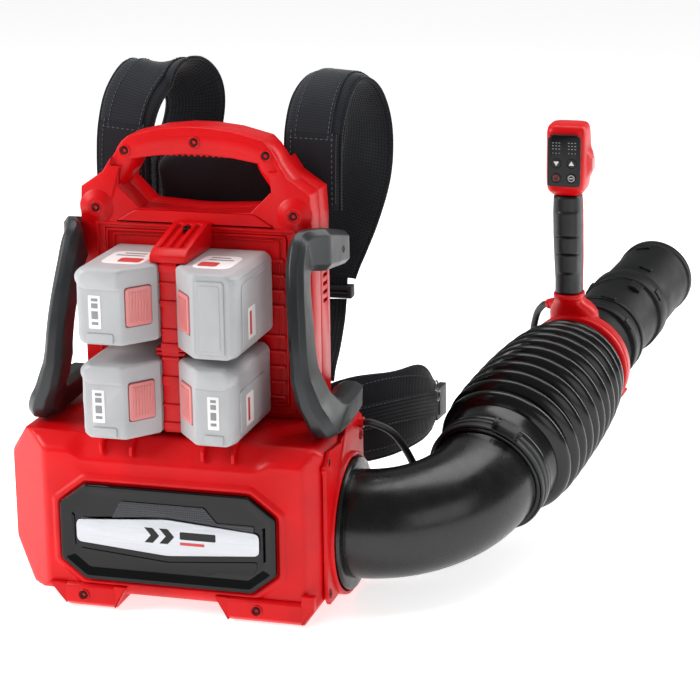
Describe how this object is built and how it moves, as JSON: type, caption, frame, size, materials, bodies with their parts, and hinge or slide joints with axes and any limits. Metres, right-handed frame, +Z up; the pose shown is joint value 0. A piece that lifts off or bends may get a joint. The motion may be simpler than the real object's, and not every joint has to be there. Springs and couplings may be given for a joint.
{
  "type": "backpack leaf blower",
  "caption": "Battery backpack leaf blower: red fan housing and frame, battery packs on a dock, padded harness, swivelling elbow with bellows, tube and control handle.",
  "frame": {"origin": "centre of the bounding box in plan, on the ground plane under the feet", "axes": "+Z up, +Y towards the wearer's back and along the blowing tube, +X to the air outlet side, -Y is the side with the batteries and badge"},
  "size_m": [0.6264, 0.778, 0.5363],
  "materials": {
    "red_plastic": "satin",
    "black_gloss": "glossy",
    "charcoal_plastic": "fine textured",
    "dark_plastic": "fine textured",
    "silver_plate": "brushed",
    "battery_case": "satin",
    "battery_button": "satin",
    "pad_fabric": "woven nylon and mesh",
    "webbing": "woven",
    "hose_rubber": "semi-gloss",
    "grip_rubber": "matt, ribbed",
    "cable_rubber": "matt",
    "steel": "brushed",
    "motor_metal": "cast",
    "board": "solder mask",
    "key_red": "satin",
    "key_grey": "satin"
  },
  "bodies": {
    "frame": {"guide_vanes": "dark_plastic", "intake_grille": "dark_plastic", "cable_lower": "cable_rubber", "lower_rear_shell": "red_plastic", "upper_rear_shell": "red_plastic", "lower_front_shell": "red_plastic", "battery_deck": "red_plastic", "fan_duct": "dark_plastic", "left_guard": "charcoal_plastic", "right_guard": "charcoal_plastic", "outlet_flange": "red_plastic", "shoulder_strap_left": "pad_fabric", "shoulder_strap_right": "pad_fabric", "motor": "motor_metal", "bearing_front": "steel", "bearing_rear": "steel", "battery_spine": "red_plastic", "upper_frame": "red_plastic", "hip_wing_left": "pad_fabric", "hip_wing_right": "pad_fabric", "lower_webbing_left": "webbing", "lower_webbing_right": "webbing", "control_board": "board", "badge_panel": "black_gloss", "badge_plate": "silver_plate", "back_pad": "pad_fabric", "ladder_lock_left": "dark_plastic", "hip_buckle_left": "dark_plastic", "ladder_lock_right": "dark_plastic", "hip_buckle_right": "dark_plastic", "foot_left": "red_plastic", "foot_right": "red_plastic", "back_plate": "dark_plastic", "lumbar_pad": "pad_fabric"},
    "fan": {"impeller": "dark_plastic", "motor_shaft": "steel"},
    "elbow": {"elbow": "black_gloss", "hose_clamp": "steel", "bellows": "hose_rubber", "cable_upper": "cable_rubber"},
    "wand": {"tube_1": "charcoal_plastic", "handle_collar": "red_plastic", "grip": "grip_rubber", "head": "red_plastic", "key_panel": "black_gloss"},
    "trigger": {"trigger": "dark_plastic"},
    "tube_2": {"tube_2": "charcoal_plastic"},
    "nozzle": {"nozzle": "charcoal_plastic"},
    "key_up": {"key_up": "key_grey"},
    "key_down": {"key_down": "key_grey"},
    "key_power": {"key_power": "key_red"},
    "key_mode": {"key_mode": "key_grey"},
    "pack_left_top": {"battery_left_top": "battery_case"},
    "release_left_top": {"release_button_left_top": "battery_button"},
    "pack_left_low": {"battery_left_low": "battery_case"},
    "release_left_low": {"release_button_left_low": "battery_button"},
    "pack_right_top": {"battery_right_top": "battery_case"},
    "release_right_top": {"release_button_right_top": "battery_button"},
    "pack_right_low": {"battery_right_low": "battery_case"},
    "release_right_low": {"release_button_right_low": "battery_button"}
  },
  "joints": [
    {"name": "fan_spin", "type": "hinge", "parent": "frame", "child": "fan", "pos_m": [-0.20482, -0.27102, 0.077], "axis": [1, 0, 0], "continuous": true},
    {"name": "elbow_swivel", "type": "hinge", "parent": "frame", "child": "elbow", "pos_m": [0.04678, -0.27102, 0.077], "axis": [1, 0, 0], "range_deg": [-10, 40], "deforming": ["cable_lower"]},
    {"name": "bellows_bend", "type": "hinge", "parent": "elbow", "child": "wand", "pos_m": [0.19908, -0.04206, 0.14136], "axis": [-0.0377, -0.1969, 0.9797], "range_deg": [-18, 18], "deforming": ["bellows", "cable_upper"]},
    {"name": "tube_2_twist", "type": "hinge", "parent": "wand", "child": "tube_2", "pos_m": [0.23196, 0.15819, 0.16979], "axis": [0.1521, 0.9814, 0.1171], "range_deg": [0, 20]},
    {"name": "nozzle_twist", "type": "hinge", "parent": "tube_2", "child": "nozzle", "pos_m": [0.24793, 0.26124, 0.18208], "axis": [0.1521, 0.9814, 0.1171], "range_deg": [0, 20]},
    {"name": "trigger_pull", "type": "hinge", "parent": "wand", "child": "trigger", "pos_m": [0.20818, 0.09898, 0.35], "axis": [-1, 0, 0], "range_deg": [0, 8], "stiffness_Nm_per_rad": 0.6, "springref_deg": -6.88},
    {"name": "key_up_press", "type": "slide", "parent": "wand", "child": "key_up", "axis": [0, 1, 0], "range_m": [0, 0.0008], "stiffness_N_per_m": 900, "springref_m": -0.001},
    {"name": "key_down_press", "type": "slide", "parent": "wand", "child": "key_down", "axis": [0, 1, 0], "range_m": [0, 0.0008], "stiffness_N_per_m": 900, "springref_m": -0.001},
    {"name": "key_power_press", "type": "slide", "parent": "wand", "child": "key_power", "axis": [0, 1, 0], "range_m": [0, 0.0008], "stiffness_N_per_m": 900, "springref_m": -0.001},
    {"name": "key_mode_press", "type": "slide", "parent": "wand", "child": "key_mode", "axis": [0, 1, 0], "range_m": [0, 0.0008], "stiffness_N_per_m": 900, "springref_m": -0.001},
    {"name": "pack_left_top_slide", "type": "slide", "parent": "frame", "child": "pack_left_top", "axis": [0, -1, 0], "range_m": [0, 0.13]},
    {"name": "release_left_top_press", "type": "slide", "parent": "pack_left_top", "child": "release_left_top", "axis": [-0.7719, 0.6357, 0], "range_m": [0, 0.0025], "stiffness_N_per_m": 900, "springref_m": -0.002},
    {"name": "pack_left_low_slide", "type": "slide", "parent": "frame", "child": "pack_left_low", "axis": [0, -1, 0], "range_m": [0, 0.13]},
    {"name": "release_left_low_press", "type": "slide", "parent": "pack_left_low", "child": "release_left_low", "axis": [-0.7719, 0.6357, 0], "range_m": [0, 0.0025], "stiffness_N_per_m": 900, "springref_m": -0.002},
    {"name": "pack_right_top_slide", "type": "slide", "parent": "frame", "child": "pack_right_top", "axis": [0, -1, 0], "range_m": [0, 0.13]},
    {"name": "release_right_top_press", "type": "slide", "parent": "pack_right_top", "child": "release_right_top", "axis": [0.7719, 0.6357, 0], "range_m": [0, 0.0025], "stiffness_N_per_m": 900, "springref_m": -0.002},
    {"name": "pack_right_low_slide", "type": "slide", "parent": "frame", "child": "pack_right_low", "axis": [0, -1, 0], "range_m": [0, 0.13]},
    {"name": "release_right_low_press", "type": "slide", "parent": "pack_right_low", "child": "release_right_low", "axis": [0.7719, 0.6357, 0], "range_m": [0, 0.0025], "stiffness_N_per_m": 900, "springref_m": -0.002}
  ]
}
